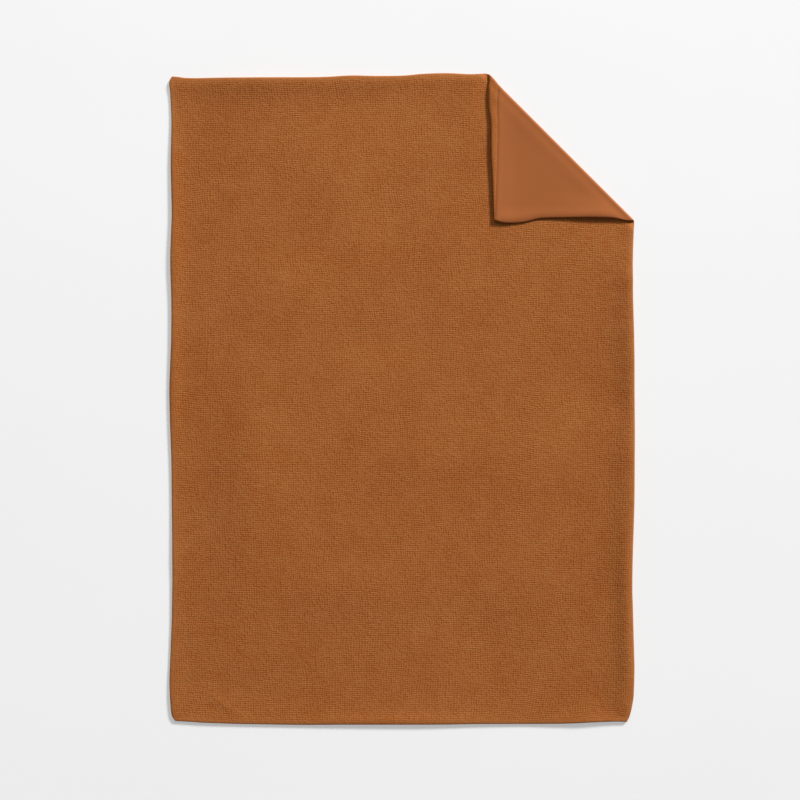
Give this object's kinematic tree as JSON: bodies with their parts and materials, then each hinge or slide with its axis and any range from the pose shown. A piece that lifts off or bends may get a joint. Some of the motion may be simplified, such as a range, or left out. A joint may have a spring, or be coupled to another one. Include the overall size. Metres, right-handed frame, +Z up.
{
  "type": "duvet cover",
  "caption": "Empty single bed duvet cover lying flat, pebble-weave front, with its top right corner turned over to show the plain back.",
  "frame": {"origin": "on the floor below the middle of the cover's bounding box", "axes": "+X to the right across the cover, +Y along its length towards the head edge with the turned corner, +Z up"},
  "size_m": [1.509, 2.1118, 0.0215],
  "materials": {
    "pebble_cotton": "matt, raised pebble weave in rust brown cotton",
    "plain_cotton": "matt, smooth plain weave in rust brown cotton"
  },
  "bodies": {
    "root": {"front_panel": "pebble_cotton", "back_panel": "plain_cotton"}
  },
  "joints": []
}
